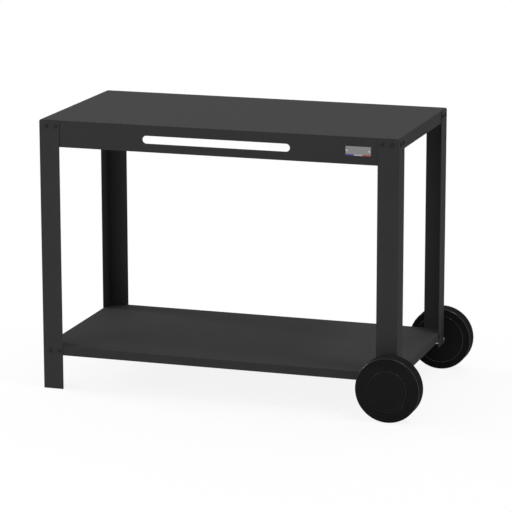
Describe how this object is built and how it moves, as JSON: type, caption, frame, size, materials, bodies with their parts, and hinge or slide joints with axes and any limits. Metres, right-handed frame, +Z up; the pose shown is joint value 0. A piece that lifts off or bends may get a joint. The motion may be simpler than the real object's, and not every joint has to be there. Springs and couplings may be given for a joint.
{
  "type": "plancha cart",
  "caption": "Wheeled outdoor cart for a plancha: folded sheet-metal worktop with a handle slot, open lower shelf, bolted angle legs and disc wheels at one end.",
  "frame": {"origin": "on the floor, under the middle of the whole cart's box, wheels and bolt heads included", "axes": "+X along the cart towards the wheel end, +Y from the handle side to the back, +Z up"},
  "size_m": [1.1312, 0.642, 0.784],
  "materials": {
    "powder_coat": "fine-textured anthracite powder coat",
    "black_bolts": "black coated steel",
    "zinc_steel": "zinc plated",
    "plate_metal": "brushed, with a plain three-colour strip",
    "rivet_metal": "bright",
    "tyre_rubber": "matt black rubber",
    "wheel_plastic": "fine-grained black moulding",
    "bush_plastic": "plain nylon"
  },
  "bodies": {
    "cart": {"top_tray": "powder_coat", "lower_shelf": "powder_coat", "front_left_leg": "powder_coat", "front_left_top_bolts": "black_bolts", "front_left_top_washers": "zinc_steel", "front_left_top_nuts": "zinc_steel", "front_left_shelf_bolts": "black_bolts", "front_left_shelf_washers": "zinc_steel", "front_left_shelf_nuts": "zinc_steel", "rear_left_leg": "powder_coat", "rear_left_top_bolts": "black_bolts", "rear_left_top_washers": "zinc_steel", "rear_left_top_nuts": "zinc_steel", "rear_left_shelf_bolts": "black_bolts", "rear_left_shelf_washers": "zinc_steel", "rear_left_shelf_nuts": "zinc_steel", "front_right_leg": "powder_coat", "front_right_top_bolts": "black_bolts", "front_right_top_washers": "zinc_steel", "front_right_top_nuts": "zinc_steel", "front_right_shelf_bolts": "black_bolts", "front_right_shelf_washers": "zinc_steel", "front_right_shelf_nuts": "zinc_steel", "rear_right_leg": "powder_coat", "rear_right_top_bolts": "black_bolts", "rear_right_top_washers": "zinc_steel", "rear_right_top_nuts": "zinc_steel", "rear_right_shelf_bolts": "black_bolts", "rear_right_shelf_washers": "zinc_steel", "rear_right_shelf_nuts": "zinc_steel", "badge_plate": "plate_metal", "plate_rivets": "rivet_metal", "front_axle_bolt": "zinc_steel", "front_inner_washer": "zinc_steel", "front_outer_washer": "zinc_steel", "front_lock_nut": "zinc_steel", "rear_axle_bolt": "zinc_steel", "rear_inner_washer": "zinc_steel", "rear_outer_washer": "zinc_steel", "rear_lock_nut": "zinc_steel"},
    "front_wheel": {"front_tyre": "tyre_rubber", "front_wheel_core": "wheel_plastic", "front_wheel_cap": "wheel_plastic", "front_axle_bush": "bush_plastic"},
    "rear_wheel": {"rear_tyre": "tyre_rubber", "rear_wheel_core": "wheel_plastic", "rear_wheel_cap": "wheel_plastic", "rear_axle_bush": "bush_plastic"}
  },
  "joints": [
    {"name": "front_wheel_spin", "type": "hinge", "parent": "cart", "child": "front_wheel", "pos_m": [0.47408, -0.298, 0.0915], "axis": [0, 1, 0], "continuous": true},
    {"name": "rear_wheel_spin", "type": "hinge", "parent": "cart", "child": "rear_wheel", "pos_m": [0.47408, 0.298, 0.0915], "axis": [0, 1, 0], "continuous": true}
  ]
}
